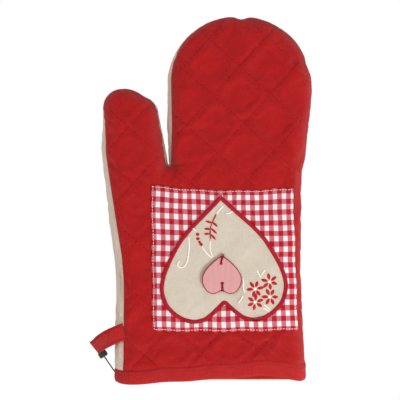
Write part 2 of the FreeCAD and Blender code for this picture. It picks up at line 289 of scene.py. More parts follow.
def tube(name, points, radius, stuff, smooth=True):
    """Round thread or cord along points, as a mesh, and the points of its centre line."""
    curve = bpy.data.curves.new(name, "CURVE")
    curve.dimensions = "3D"
    line = curve.splines.new("NURBS" if smooth else "POLY")
    line.points.add(len(points) - 1)
    for place, point in zip(line.points, points):
        place.co = (*point, 1)
    if smooth:
        line.order_u = 3
        line.use_endpoint_u = True
        line.resolution_u = 8
    made = new_object(name, curve)
    bpy.context.view_layer.update()
    centre = bpy.data.meshes.new_from_object(made.evaluated_get(bpy.context.evaluated_depsgraph_get()))
    path = [tuple(v.co) for v in centre.vertices]
    bpy.data.meshes.remove(centre)
    curve.bevel_depth, curve.bevel_resolution, curve.use_fill_caps = radius, 3, True
    curve.materials.append(stuff)
    body = evaluated(made)
    body.data.polygons.foreach_set("use_smooth", [True] * len(body.data.polygons))
    layer = body.data.uv_layers.new(name="flat") if not body.data.uv_layers else body.data.uv_layers[0]
    for loop in body.data.loops:
        spot = body.data.vertices[loop.vertex_index].co
        layer.data[loop.index].uv = (spot.x + spot.z, spot.y)
    return body, path


def unit(vector):
    return vector / np.linalg.norm(vector)


def lengths_along(line):
    """Distance along a line of points, at each point."""
    return np.concatenate([[0], np.cumsum(np.linalg.norm(np.diff(line, axis=0), axis=1))])


# Outline of the bag
# The same corners as the part's own outline, in mm: (x, y, radius, angle of the side seam up the edge).
corners = [
    (-70.0, -195.0, 26, 57), (-69.0, -62, 260, 57), (-80.5, 40, 90, 36), (-79.0, 91.0, 16, 8),
    (-56.0, 91.0, 24, 3), (-35.5, 79.5, 16, 3), (-24.88, 22.4, 0.5, 16), (-26.6, 60, 60, 36),
    (-26.0, 150.0, 56, 28), (92.0, 150.0, 58, 3), (91.5, 84, 120, 3), (83.0, 8, 260, 3),
    (82.5, -62, 300, 3), (88.5, -195.0, 26, 3),
]
height, edge, band_high = 34.0, 15.0, 4.0


def walk_outline(step):
    """Points, outward directions and seam angles round the outline, about step mm apart."""
    runs = []
    for i, (x, y, radius, seam) in enumerate(corners):
        here = np.array((x, y))
        back = unit(np.array(corners[i - 1][:2]) - here)
        ahead = unit(np.array(corners[(i + 1) % len(corners)][:2]) - here)
        turn = math.pi - math.acos(np.clip(back @ ahead, -1, 1))
        first, last = here + back * radius * math.tan(turn / 2), here + ahead * radius * math.tan(turn / 2)
        centre = here + unit(back + ahead) * radius / math.cos(turn / 2)
        side = -1.0 if back[0] * ahead[1] - back[1] * ahead[0] < 0 else 1.0
        count = max(3, math.ceil((radius if side > 0 else 15) * turn / step))
        start = math.atan2(*(first - centre)[::-1])
        sweep = -side * turn
        turns = [start + sweep * k / count for k in range(count + 1)]
        arc = [centre + radius * np.array((math.cos(a), math.sin(a))) for a in turns]
        runs.append((arc, [side * unit(p - centre) for p in arc], seam, first, last))
    points, ways, seams = [], [], []
    for i, (arc, out, seam, first, last) in enumerate(runs):
        points += arc
        ways += out
        seams += [seam] * len(arc)
        after = runs[(i + 1) % len(runs)]
        run = after[3] - last
        count = max(1, round(np.linalg.norm(run) / step))
        for k in range(1, count):
            points.append(last + run * k / count)
            ways.append(unit(np.array((-run[1], run[0]))))
            seams.append(seam + (after[2] - seam) * k / count)
    return np.array(points), np.array(ways), np.array(seams, float)


def profile(s, inset=0.0):
    """Distance out from the edge's centre line, height and lean, at s mm down from the flat top."""
    radius = edge - inset
    quarter = radius * math.pi / 2
    s = np.asarray(s, float)
    top = np.clip(s, 0, quarter) / radius
    low = np.clip(s - quarter - band_high, 0, quarter) / radius
    band = np.clip(s - quarter, 0, band_high)
    out = np.where(s < quarter + band_high, radius * np.sin(top), radius * np.cos(low))
    above, below = height - edge + radius * np.cos(top), height - edge - band - radius * np.sin(low)
    level = np.where(s < quarter, above, below)
    lean = np.where(s < quarter, np.pi / 2 - top, -low)
    return out, level, lean


def quilt_distance(x, y):
    """Distance in mm to the nearest quilting line; the lines cross in large diamonds."""
    rise = (x - y / 1.1 + 111) / 45
    fall = (x + y / 0.9 - 8) / 48
    first = np.abs(rise - np.round(rise)) * 45 * math.cos(math.atan(1 / 1.1))
    second = np.abs(fall - np.round(fall)) * 48 * math.cos(math.atan(1 / 0.9))
    return first, second


def cuff_shape(points):
    """The mouth's edge lies in a soft curve: everything near the cuff is drawn up with it, in mm."""
    places, rises = [-72, -62, -10, 30, 54, 70, 82, 88], [0, 0.4, 3.8, 6.2, 8.0, 6.2, 2.0, 1.0]
    along = np.interp(points[:, 0], places, rises) + 0.35 * np.sin(points[:, 0] / 6)
    near = np.clip((-104 - points[:, 1]) / 34, 0, 1)
    moved = points.copy()
    moved[:, 1] += along * near * near * (3 - 2 * near)
    return moved


# Outer cloth
# The whole bag is one welded skin while it is simulated. The seams, quilting and cuff are held, and the cloth
# between them is cut a little large and blown up softly, so it puffs. It is then parted at the side seam.
points, ways, seams = walk_outline(2.3)
fading = np.minimum(seams, np.interp(points[:, 1], [95, 140], [28, 7]))
seams = np.where((points[:, 1] > 95) & (points[:, 0] < 34), fading, seams)
count = len(points)
middle = points - ways * edge
to_seam = edge * np.radians(90 - seams)
front_rows, back_rows = 9, 16


def facing(verts, turned, faces):
    """The faces, each with its corners in the order that faces outwards."""
    sorted_faces = []
    for face in faces:
        a, b, c = (verts[face[k]] for k in (0, 1, 2))
        out = np.cross(b - a, c - b) @ (turned[face[0]] + turned[face[2]])
        sorted_faces.append(tuple(int(i) for i in (face if out > 0 else face[::-1])))
    return sorted_faces


def skin_grid(inset, spacing):
    """Rings of points down the rounded edge, one on the seam, and fillings for the flat top and bottom."""
    seam_at = (edge - inset) * np.radians(90 - seams)
    full = (edge - inset) * math.pi + band_high
    rows = [seam_at * k / front_rows for k in range(front_rows + 1)]
    rows += [seam_at + (full - seam_at) * k / back_rows for k in range(1, back_rows + 1)]
    verts, flats, turned = [], [], []
    for s in rows:
        out, level, lean = profile(s, inset)
        spot = middle + ways * out[:, None]
        verts.append(np.column_stack((spot, level)))
        flats.append(middle + ways * s[:, None])
        turned.append(np.column_stack((ways * np.cos(lean)[:, None], np.sin(lean))))
    ring = len(rows)
    xs = np.arange(middle[:, 0].min(), middle[:, 0].max(), spacing)
    ys = np.arange(-175, middle[:, 1].max(), spacing * 0.87)
    inner = [Vector((x + (spacing / 2 if k % 2 else 0), y)) for k, y in enumerate(ys) for x in xs]
    loop = [Vector(p) for p in middle]
    tree = np.array([tuple(p) for p in inner])
    gap = np.sqrt(((tree[:, None, :] - middle[None, ::2, :]) ** 2).sum(2)).min(1)
    inner = [p for p, g in zip(inner, gap) if g > spacing * 0.6]
    made = geometry.delaunay_2d_cdt(loop + inner, [], [list(range(count))], 1, 1e-6)
    spots, faces, origin = made[0], made[2], made[3]
    verts, flats, turned = np.vstack(verts), np.vstack(flats), np.vstack(turned)
    quads = np.array(grid_faces(ring, count, loop=True))
    sides = np.repeat(np.arange(ring - 1) < front_rows, count)
    new = {}
    extra = []
    for i, source in enumerate(origin):
        if source and source[0] < count:
            new[i] = source[0]
        else:
            new[i] = len(verts) + len(extra)
            extra.append(tuple(spots[i]))
    extra = np.array(extra)
    top, low = len(verts), len(verts) + len(extra)
    levels = [np.column_stack((extra, np.full(len(extra), z))) for z in (height - inset, inset)]
    verts = np.vstack([verts] + levels)
    flats = np.vstack([flats, extra, extra])
    turned = np.vstack([turned] + [np.tile((0, 0, z), (len(extra), 1)) for z in (1.0, -1.0)])
    upper = [[new[i] for i in f] for f in faces]
    last = (ring - 1) * count
    lower = [[(i + last if i < count else i - top + low) for i in reversed(f)] for f in upper]
    quads, upper, lower = (facing(verts, turned, some) for some in (quads, upper, lower))
    return verts, flats, turned, quads, sides, upper, lower


verts, flats, turned, quads, sides, upper, lower = skin_grid(0.0, 2.5)
faces = quads + upper + lower
is_front = np.concatenate([sides, np.ones(len(upper), bool), np.zeros(len(lower), bool)])

rise, fall = quilt_distance(verts[:, 0], verts[:, 1])
turns_down = front_rows + back_rows + 1
down = np.linalg.norm(flats[:count * turns_down] - np.tile(middle, (turns_down, 1)), axis=1)
seam_gap = np.full(len(verts), 99.0)
seam_gap[:len(down)] = np.abs(down - np.tile(to_seam, turns_down))
quilt_gap = np.minimum(rise, fall)
under_patch = (turned[:, 2] > 0.3) & (verts[:, 0] > -39) & (verts[:, 0] < 78)
under_patch &= (verts[:, 1] > -105) & (verts[:, 1] < 10.5)
uneven = 0.6 + 0.6 * np.sin(verts[:, 0] * 0.071 + 1.3) * np.sin(verts[:, 1] * 0.053 + 0.4)
uneven *= np.where(verts[:, 1] > 34, 0.6, 1.0)
sunk = 1.3 * uneven * np.exp(-((quilt_gap / 2.6) ** 2)) * np.where(under_patch, 0.3, 1.0)
sunk *= np.clip(np.abs(turned[:, 2]) * 1.6 - 0.15, 0.0, 1.0)
fold = 28.2 + 0.16 * (verts[:, 0] + 22)
reach = np.clip((10 - verts[:, 0]) / 14, 0, 1) * np.clip((verts[:, 0] + 25.5) / 2, 0, 1)
sunk += 1.3 * np.exp(-(((verts[:, 1] - fold) / 1.6) ** 2)) * reach * (turned[:, 2] > 0)
sunk = np.maximum(sunk * np.clip((-verts[:, 1] + 170) / 30, 0.3, 1), 1.2 * np.exp(-((seam_gap / 1.5) ** 2)))
sunk *= np.clip((verts[:, 1] + 142) / 10, 0.0, 1.0)
sunk += 1.3 * np.clip((-137 - verts[:, 1]) / 3, 0.0, 1.0)
shaped = verts - turned * sunk[:, None]
held = (quilt_gap < 1.3) | (seam_gap < 1.6) | (verts[:, 1] < -134)

skin = mesh_object("skin", shaped * mm, faces, red_cotton, flats * mm)
group = skin.vertex_groups.new(name="held")
group.add([int(i) for i in np.nonzero(held)[0]], 1.0, "REPLACE")
cloth = skin.modifiers.new("cloth", "CLOTH")
rules = cloth.settings
rules.quality, rules.mass = 6, 0.1
rules.tension_stiffness = rules.compression_stiffness = 12
rules.shear_stiffness, rules.bending_stiffness = 6, 0.3
rules.vertex_group_mass = "held"
rules.use_pressure, rules.uniform_pressure_force = True, 1.6
rules.shrink_min = -0.035
rules.effector_weights.gravity = 0.0
cloth.collision_settings.use_collision = False
moments = 22
cloth.point_cache.frame_start, cloth.point_cache.frame_end = 1, moments
for moment in range(1, moments + 1):
    scene.frame_set(moment)
bpy.context.view_layer.update()
settled = np.zeros(len(verts) * 3)
skin.evaluated_get(bpy.context.evaluated_depsgraph_get()).data.vertices.foreach_get("co", settled)
settled = settled.reshape(-1, 3) / mm
moved = settled - shaped
far = np.linalg.norm(moved, axis=1)
moved *= np.minimum(1, 2.2 / np.maximum(far, 1e-9))[:, None]
moved *= np.where(under_patch, 0.4, np.clip(0.3 + 0.7 * np.abs(turned[:, 2]), 0, 1))[:, None]
shaped = shaped + moved
skin.modifiers.clear()
scene.frame_set(1)
broad = 0.55 * np.sin(shaped[:, 0] * 0.09 + 0.05 * shaped[:, 1]) * np.sin(shaped[:, 1] * 0.075 + 1.0)
broad += 0.3 * np.sin(shaped[:, 0] * 0.21 - shaped[:, 1] * 0.16)
shaped[:, 2] += broad * np.clip(turned[:, 2], 0, 1) * (verts[:, 1] > -135) * np.where(under_patch, 0.4, 1.0)
dents = [(33.7, 150, 2.5, 5.0), (90.5, 110, 1.3, 7.0), (83.8, 20, 1.4, 8.0), (-80.5, 62, 0.7, 9.0)]
for x, y, deep, wide in dents:
    near = np.exp(-(((shaped[:, 0] - x) ** 2 + (shaped[:, 1] - y) ** 2) / wide**2))
    shaped -= turned * np.array((1, 1, 0)) * (deep * near)[:, None]
shaped[:, 2] = np.maximum(shaped[:, 2], 0.02)
shaped = cuff_shape(shaped)

# Creases
# The handled cloth also keeps small folds that no stitching holds.
# Each is a furrow with a soft ridge on its upper side, along listed points.
furrows = [
    [(27.6, 146), (26.8, 128)], [(58.5, 136.6), (37.4, 115.5), (22.8, 100.8)],
    [(78, 113.8), (58.5, 92.7), (39, 76.4)], [(43.9, 122.5), (63.4, 121)],
    [(-8, 96.5), (14, 89.5), (39, 93)], [(-2, 71), (22.8, 72.5)], [(27.6, 64), (52, 65.5), (65, 55)],
    [(-22, 54), (6, 58.5), (29, 55)], [(46, 48), (60, 39)], [(-63, 20), (-46, 16)],
    [(-60, 74), (-48, 80)], [(-58, -118), (-40, -128)], [(-72, 62), (-55, 56)],
    [(50, -112), (68, -122)], [(5, -112), (18, -124)], [(-60, -60), (-48, -70)],
]
for line in furrows:
    nearest, side = np.full(len(shaped), 99.0), np.zeros(len(shaped))
    for start_point, end_point in zip(np.array(line[:-1], float), np.array(line[1:], float)):
        run = end_point - start_point
        part = np.clip((shaped[:, :2] - start_point) @ run / (run @ run), 0, 1)
        away = shaped[:, :2] - start_point - part[:, None] * run
        far = np.linalg.norm(away, axis=1)
        closer = far < nearest
        side = np.where(closer, np.sign(run[0] * away[:, 1] - run[1] * away[:, 0]), side)
        nearest = np.minimum(nearest, far)
    furrow = -0.8 * np.exp(-((nearest / 1.9) ** 2)) + 0.5 * np.exp(-(((nearest - 4) / 2.6) ** 2)) * (side > 0)
    shaped[:, 2] += furrow * np.clip(turned[:, 2], 0, 1)
sunk = ((verts - shaped) * turned * (1, 0, 1)).sum(1)
shaped += turned * np.clip(sunk - 2.4, 0, 9)[:, None] * (1, 0, 1)
skin.data.vertices.foreach_set("co", (shaped * mm).ravel())

# Parting the skin
# Faces go to the front or back cloth, and to the thumb or the rest. The thumb's crease starts at the crotch.
crotch, thumb_way = np.array((-25.7, 30.3)), np.array((-0.23, 0.973))


def on_thumb(x, y):
    """Whether a point in mm is past the thumb's crease, less 3 mm, and beside the fingers."""
    above = thumb_way[0] * (x - crotch[0]) + thumb_way[1] * (y - crotch[1])
    return x < crotch[0] - max(0.0, y - 30) * 0.086 and above > -3


def joined_edges(faces, shift):
    """Quads from the open edges of faces to the same edges shift points on."""
    rim = {(a, b) for face in faces for a, b in zip(face, face[1:] + face[:1])}
    return [(b, a, a + shift, b + shift) for a, b in rim if (b, a) not in rim]


shell = bmesh.new()
shell.from_mesh(skin.data)
shell.faces.ensure_lookup_table()
mark = shell.faces.layers.int.new("piece")
for face, front in zip(shell.faces, is_front):
    spot = face.calc_center_median() / mm
    face[mark] = (0 if front else 1) + (2 if on_thumb(spot.x, spot.y) else 0)


def cut_mouth(body, inside):
    """Takes away what lies beyond the slanted mouth, moved in by inside mm."""
    low, top = np.array((0, -145.0 + inside, 0)), np.array((0, -150.0 + inside, 34.0))
    way = Vector((0, -34.0, -5.0)).normalized()
    everything = body.verts[:] + body.edges[:] + body.faces[:]
    bmesh.ops.bisect_plane(body, geom=everything, plane_co=Vector(top) * mm, plane_no=way, clear_outer=True)


cut_mouth(shell, 5.2)
shell.to_mesh(skin.data)
shell.free()
skin.data.update()
surface = BVHTree.FromObject(skin, bpy.context.evaluated_depsgraph_get())
pieces, cloth_thick = {}, 0.8 * mm
which = np.zeros(len(skin.data.polygons), int)
skin.data.attributes["piece"].data.foreach_get("value", which)
outer = np.array([tuple(v.co) for v in skin.data.vertices])
directions = np.array([tuple(v.normal) for v in skin.data.vertices])
for k, name in enumerate(("front_cloth", "back_cloth", "front_cloth_thumb", "back_cloth_thumb")):
    chosen = [tuple(f.vertices) for f in skin.data.polygons if which[f.index] == k]
    used = sorted({v for face in chosen for v in face})
    place = {v: i for i, v in enumerate(used)}
    top = [tuple(place[v] for v in face) for face in chosen]
    low = [tuple(v + len(used) for v in reversed(face)) for face in top]
    sides = joined_edges(top, len(used))
    both = np.vstack([outer[used], outer[used] - directions[used] * cloth_thick])
    flat = np.zeros(len(skin.data.loops) * 2)
    skin.data.uv_layers[0].data.foreach_get("uv", flat)
    corner = np.zeros(len(skin.data.loops), int)
    skin.data.loops.foreach_get("vertex_index", corner)
    spread = np.zeros((len(outer), 2))
    spread[corner] = flat.reshape(-1, 2)
    stuff = red_cotton if k in (0, 2) else cream_cotton
    made = mesh_object(name, both, top + low + sides, stuff, np.vstack([spread[used], spread[used]]))
    made.data.normals_split_custom_set_from_vertices(np.vstack([directions[used], -directions[used]]))
    pieces[name] = made
bpy.data.objects.remove(skin)


def drop(x, y, above=0.0):
    """Point on the front cloth under (x, y) in mm, lifted by above mm, in metres."""
    hit = surface.ray_cast(Vector((x, y, 80)) * mm, Vector((0, 0, -1)))[0]
    return Vector((x * mm, y * mm, (hit.z if hit else 30 * mm) + above * mm))


def soft_drop(x, y, above=0.0):
    """As drop, from an average over 3 mm, for cloth that bridges small hollows."""
    levels = [drop(x + a, y + b).z for a, b in ((0, 0), (3, 0), (-3, 0), (0, 3), (0, -3))]
    return Vector((x * mm, y * mm, max(sum(levels) / 5, levels[0]) + above * mm))


# Wadding and lining
# Plain layers inside the outer cloth. Only the lining shows, in the mouth.
def layer_pieces(kind, outer, inner, stuff, mouth):
    """Four pieces of a layer between two insets in mm, with its mouth moved in by mouth mm."""
    verts, flats, turned, quads, sides, upper, lower = skin_grid(outer, 6.0)
    both = cuff_shape(np.vstack([verts, verts - turned * (inner - outer)]))
    total = len(verts)
    fronts = np.concatenate([sides, np.ones(len(upper), bool), np.zeros(len(lower), bool)])
    for half in ("front", "back"):
        for ending in ("", "_thumb"):
            chosen = []
            for face, front in zip(quads + upper + lower, fronts):
                tip = on_thumb(*verts[list(face)].mean(0)[:2])
                if front == (half == "front") and tip == (ending == "_thumb"):
                    chosen.append(face)
            solid = chosen + [tuple(i + total for i in reversed(f)) for f in chosen]
            solid += joined_edges(chosen, total)
            name = f"{half}_{kind}{ending}"
            made = mesh_object(name, both * mm, solid, stuff, np.vstack([flats, flats]) * mm)
            body = bmesh.new()
            body.from_mesh(made.data)
            cut_mouth(body, mouth)
            bmesh.ops.delete(body, geom=[v for v in body.verts if not v.link_faces], context="VERTS")
            bmesh.ops.holes_fill(body, edges=[e for e in body.edges if e.is_boundary], sides=0)
            body.to_mesh(made.data)
            body.free()
            pieces[name] = made


layer_pieces("wadding", 3.7, 6.0, fibre, 6.5)
layer_pieces("lining", 6.2, 7.0, lining_cotton, 3.0)

# Baking
# Each piece's placement is baked into its mesh, and the matching parts of the model are hidden.
def bend(made, body):
    """Bakes a piece's placement into its mesh, the same way for the thumb and the fingers."""
    if body == "thumb":
        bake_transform(made)
    else:
        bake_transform(made)


for name, made in list(pieces.items()):
    body = "thumb" if name.endswith("_thumb") else "fingers"
    bend(made, body)
    half, kind = name.split("_")[0], name.split("_")[1]
    node = "panel" if kind == "cloth" else kind
    bodies = ("thumb",) if body == "thumb" else ("palm", "fingers")
    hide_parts(*[f"{half}_{node}_{b}" for b in bodies])
    cover = "red_cotton" if half == "front" else "cream_cotton"
    cover if kind == "cloth" else kind
    kind == "cloth"


# Stitches
# Geometry nodes lay one short thread on each step of a line. The lines are laid on the cloth first.
def stitches(name, lines, step, long, thick, stuff, across=False, wobble=0.0):
    mesh = bpy.data.meshes.new(name)
    spots, edges = [], []
    for line in lines:
        edges += [(len(spots) + i, len(spots) + i + 1) for i in range(len(line) - 1)]
        spots += [tuple(p) for p in line]
    mesh.from_pydata(spots, edges, [])
    made = new_object(name, mesh)
    tree = bpy.data.node_groups.new(name, "GeometryNodeTree")
    tree.interface.new_socket("Geometry", in_out="INPUT", socket_type="NodeSocketGeometry")
    tree.interface.new_socket("Geometry", in_out="OUTPUT", socket_type="NodeSocketGeometry")
    start = Value(tree, tree.nodes.new("NodeGroupInput").outputs[0])
    curve = start.node("GeometryNodeMeshToCurve", start)
    even = start.node("GeometryNodeResampleCurve", curve, None, step, mode="LENGTH")
    tangent = start.node("GeometryNodeInputTangent")
    turn = start.node("FunctionNodeAlignRotationToVector", None, None, tangent, axis="X")
    if across:
        turn = start.node("FunctionNodeRotateRotation", turn, (0, 0, math.pi / 2), rotation_space="LOCAL")
    if wobble:
        least, most = (0, 0, -wobble), (0, 0, wobble)
        sway = start.node("FunctionNodeRandomValue", least, most, data_type="FLOAT_VECTOR")
        sway = start.node("FunctionNodeEulerToRotation", sway)
        turn = start.node("FunctionNodeRotateRotation", turn, sway, rotation_space="LOCAL")
    thread = start.node("GeometryNodeMeshUVSphere", 5 if across else 8, 5 if across else 6, 1.0)
    thread = start.node("GeometryNodeTransform", thread, None, (0, math.pi / 2, 0)) if across else thread
    sized = start.node("GeometryNodeTransform", thread, None, None, (long / 2, thick / 2, thick / 2))
    placed = start.node("GeometryNodeInstanceOnPoints", even, None, sized, None, None, turn)
    real = start.node("GeometryNodeRealizeInstances", placed)
    smooth = start.node("GeometryNodeSetShadeSmooth", real)
    painted = start.node("GeometryNodeSetMaterial", smooth, None, stuff)
    out = tree.nodes.new("NodeGroupOutput")
    tree.links.new(painted.socket, out.inputs[0])
    modifier = made.modifiers.new("stitches", "NODES")
    modifier.node_group = tree
    final = evaluated(made)
    if not final.data.uv_layers:
        layer = final.data.uv_layers.new(name="flat")
        for loop in final.data.loops:
            spot = final.data.vertices[loop.vertex_index].co
            layer.data[loop.index].uv = (spot.x, spot.y)
    final.data.materials.clear()
    final.data.materials.append(stuff)
    return final


def inside_outline(x, y, margin):
    """Whether a point in mm is inside the outline by at least margin mm."""
    gaps = points - np.array((x, y))
    nearest = int(np.argmin((gaps**2).sum(1)))
    return -(ways[nearest] @ (np.array((x, y)) - points[nearest])) > margin


def in_patch(x, y):
    return -41 < x < 79.5 and -107 < y < 12.5


def quilt_lines(want_thumb):
    """Quilting lines of the front as runs of points on the cloth, leaving out what the patch covers."""
    lines = []
    for slope, pitch, shift in ((1.1, 45, -111), (-0.9, 48, 8)):
        for k in range(-6, 10):
            run = []
            for y in np.arange(-137, 150, 1.5):
                x = shift + pitch * k + y / slope
                if on_thumb(x, y) == want_thumb and inside_outline(x, y, 7.5) and not in_patch(x, y):
                    run.append(drop(x, y, 0.05))
                else:
                    if len(run) > 4:
                        lines.append(run)
                    run = []
            if len(run) > 4:
                lines.append(run)
    return lines


for name, want in (("quilting", False), ("quilting_thumb", True)):
    made = stitches(name, quilt_lines(want), 3.6 * mm, 2.8 * mm, 0.5 * mm, red_thread)
    bend(made, "thumb" if want else "fingers")

# Cuff binding
# One folded strip runs round the mouth, over both lips, a little proud of the cloth, with top stitching.
folded = [(12.2, 1.0), (12.0, 0.4), (10.6, 0.1), (8.4, 0.35), (5.0, 0.1), (2.4, 0.1), (0.8, 0.5), (0.1, 1.6),
          (0.0, 2.8), (0.0, 4.6), (0.2, 6.6), (1.0, 7.7), (3.0, 8.0), (7.0, 7.9), (9.2, 7.6), (9.2, 7.2)]


def mouth_ring(inward, inset, turns=300):
    """Points round the bag at a distance inward from the mouth and an inset from its surface, in mm."""
    radius, flat_side = edge - inset, 4.0
    left, right = -69.0 - 85 / 133, 82.5 + 85 * 6 / 133
    wide, arc = right - left - 2 * edge, math.pi / 2 * radius
    quarters = (
        (wide, right - edge, height - edge, 90), (flat_side, right - edge, edge, 0),
        (wide, left + edge, edge, -90), (flat_side, left + edge, height - edge, 180),
    )
    ring = []
    for k in range(turns):
        s = (2 * wide + 2 * flat_side + 4 * arc) * k / turns
        for straight, x, z, angle in quarters:
            if s < straight + arc:
                break
            s -= straight + arc
        turn, lag = math.radians(angle) - max(0.0, s - straight) / radius, max(0.0, straight - s)
        x += radius * math.cos(turn) - lag * math.sin(turn)
        z += radius * math.sin(turn) + lag * math.cos(turn)
        ring.append((x, -150 + 5 * (height - z) / height + inward, z))
    return cuff_shape(np.array(ring))


def rippled(ring, depth, phase):
    """Adds the small uneven puckers of a stitched edge to a ring of points."""
    k = np.arange(len(ring))
    ripple = np.sin(k * 0.42 + phase) + 0.6 * np.sin(k * 0.93 + 2 * phase) + 0.4 * np.sin(k * 1.7 + phase)
    centre = np.array((9.0, 0, 17.0))
    out = ring - centre
    out[:, 1] = 0
    return ring + out / np.linalg.norm(out, axis=1)[:, None] * (ripple * depth)[:, None]


def slanted(ring):
    """The strip's front edge isn't square to the mitt: nearer the mouth at the left than at the right."""
    ring[:, 1] += np.interp(ring[:, 0], [-60, 85], [-1.6, 1.0])
    return ring


rows = []
for k, (inward, inset) in enumerate(folded):
    ring = mouth_ring(inward, inset)
    if inset < 1.1 and inward > 6:
        ring = slanted(ring)
    rows.append(rippled(ring, 0.09, 0.6 * k) if inset < 7.3 else ring)
strip_faces = grid_faces(len(rows), 300, loop=True)
strip_flat = [np.column_stack((np.arange(300) * 1.35, np.full(300, k * 2.0))) for k in range(len(rows))]
strip_flat = np.vstack(strip_flat) * mm
binding = mesh_object("cuff_binding_strip", np.vstack(rows) * mm, strip_faces, binding_cotton, strip_flat)
binding = thicken(binding, 0.35 * mm)
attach(binding, "palm")
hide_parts("cuff_binding")
ring = slanted(mouth_ring(9.3, 0.05))
sewn_line = [Vector(p) * mm for p in np.vstack([ring, ring[:1]])]
made = stitches("cuff_stitching", [sewn_line], 3.1 * mm, 2.5 * mm, 0.45 * mm, red_thread)
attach(made, "palm")

# Gingham patch
# A sheet laid on the front and sewn round its edge with pale thread. Its outline wavers a little.
quad = np.array([(-39.6, 12.0), (75.0, 9.8), (79.2, -105.0), (-38.2, -105.8)])
columns, lines_down = 97, 97
spots, coords = [], []
for j in range(lines_down):
    for i in range(columns):
        u, v = i / (columns - 1), j / (lines_down - 1)
        spot = quad[0] * (1 - u) * (1 - v) + quad[1] * u * (1 - v) + quad[2] * u * v + quad[3] * (1 - u) * v
        sag = -3.0 * math.sin(math.pi * u) * (1 - v) ** 3 - 0.8 * math.sin(math.pi * u) * v**3
        x = spot[0] + 0.3 * math.sin(v * 19 + 1) * ((1 - u) ** 8 + u**8)
        y = spot[1] + sag + 0.35 * math.sin(u * 23) * ((1 - v) ** 8 + v**8)
        spots.append(soft_drop(x, y, 0.35))
        coords.append((u * 0.1155, v * 0.1165))
patch_faces = [f[::-1] for f in grid_faces(lines_down, columns)]
patch = mesh_object("gingham_square", spots, patch_faces, gingham, coords)
patch = thicken(patch, 0.3 * mm)
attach(patch, "palm")
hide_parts("gingham_patch")
patch_top = BVHTree.FromObject(patch, bpy.context.evaluated_depsgraph_get())


def on_patch(x, y, above=0.0):
    """Point on the patch, or on the cloth beside it, in metres."""
    hit = patch_top.ray_cast(Vector((x, y, 80)) * mm, Vector((0, 0, -1)))[0]
    return hit + Vector((0, 0, above * mm)) if hit else drop(x, y, above)


border = list(range(columns + 1, 2 * columns - 1))
border += [j * columns + columns - 2 for j in range(1, lines_down - 1)]
border += [(lines_down - 2) * columns + i for i in range(columns - 2, 0, -1)]
border += [j * columns + 1 for j in range(lines_down - 2, 0, -1)]
border = [spots[k] + Vector((0, 0, 0.1 * mm)) for k in border]
made = stitches("patch_stitching", [border + border[:1]], 2.4 * mm, 1.9 * mm, 0.4 * mm, cream_thread)
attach(made, "palm")


# Hearts
# Both are drawn from points down their right half, mirrored, and turned a little as on the mitt.
def heart_loop(half, tip, turn, inset, step=1.0):
    """Even points round a heart in mm, pulled in by inset, from the tip clockwise."""
    half = np.array([(0.0, 0.0)] + half)
    fine = []
    gaps = lengths_along(half)
    for s in np.arange(0, gaps[-1], 0.5):
        k = min(np.searchsorted(gaps, s, side="right") - 1, len(half) - 2)
        t = (s - gaps[k]) / (gaps[k + 1] - gaps[k])
        p0, p1, p2, p3 = half[max(k - 1, 0)], half[k], half[k + 1], half[min(k + 2, len(half) - 1)]
        square, cube = 2 * p0 - 5 * p1 + 4 * p2 - p3, 3 * p1 - p0 - 3 * p2 + p3
        fine.append(0.5 * (2 * p1 + (p2 - p0) * t + square * t**2 + cube * t**3))
    fine.append(half[-1])
    fine = np.array(fine)
    along = np.gradient(fine, axis=0)
    along /= np.linalg.norm(along, axis=1)[:, None]
    pulled = fine + np.column_stack((along[:, 1], -along[:, 0])) * inset
    if inset:
        keep = pulled[:, 0] > 0.05
        pulled = pulled[keep]
        slope = pulled[1] - pulled[0]
        first = pulled[0] - slope / slope[0] * pulled[0][0]
        tail = [(0.7 * pulled[-1][0], half[-1][1] + inset * 0.86), (0.0, half[-1][1] + inset)]
        pulled = np.vstack([first, pulled, tail])
    loop = np.vstack([pulled, (pulled * (-1, 1))[::-1][1:-1]])
    closed = np.vstack([loop, loop[:1]])
    lengths = lengths_along(closed)
    number = int(lengths[-1] / step)
    even = np.linspace(0, lengths[-1], number, endpoint=False)
    loop = np.column_stack([np.interp(even, lengths, closed[:, i]) for i in (0, 1)])
    c, s = math.cos(math.radians(turn)), math.sin(math.radians(turn))
    return loop @ np.array(((c, s), (-s, c))) + np.array(tip)


big_half = [
    (12.5, -12.2), (25.5, -24.6), (35.0, -35.6), (42.5, -48.0), (48.3, -60.0), (51.3, -71.0), (50.9, -79.4),
    (47.5, -88.6), (41.0, -95.8), (33.0, -100.8), (24.5, -102.7), (15.5, -101.0), (8.0, -95.6), (0.0, -88.0),
]
big = (big_half, (16.5, 3.9), 2.1)
small = ([(3.6, -2.2), (7.5, -5.4), (12.5, -10.6), (15.2, -15.4), (16.0, -20.0), (14.6, -25.2), (11.6, -29.2),
          (8.0, -30.8), (4.0, -30.2), (0.0, -27.8)], (17.6, -44.7), 0.0)


def filled(loop, spacing):
    """Triangles over a closed loop of points in mm, with a grid of points inside it."""
    low, high = loop.min(0), loop.max(0)
    inner = []
    for k, y in enumerate(np.arange(low[1], high[1], spacing * 0.87)):
        for x in np.arange(low[0] + (spacing / 2 if k % 2 else 0), high[0], spacing):
            if np.sqrt(((loop - (x, y)) ** 2).sum(1)).min() > spacing * 0.6:
                inner.append(Vector((x, y)))
    made = geometry.delaunay_2d_cdt([Vector(p) for p in loop] + inner, [], [list(range(len(loop)))], 1, 1e-6)
    spots, faces = made[0], []
    for face in made[2]:
        a, b, c = (spots[i] for i in face[:3])
        faces.append(face if (b - a).cross(c - a) > 0 else face[::-1])
    return spots, faces


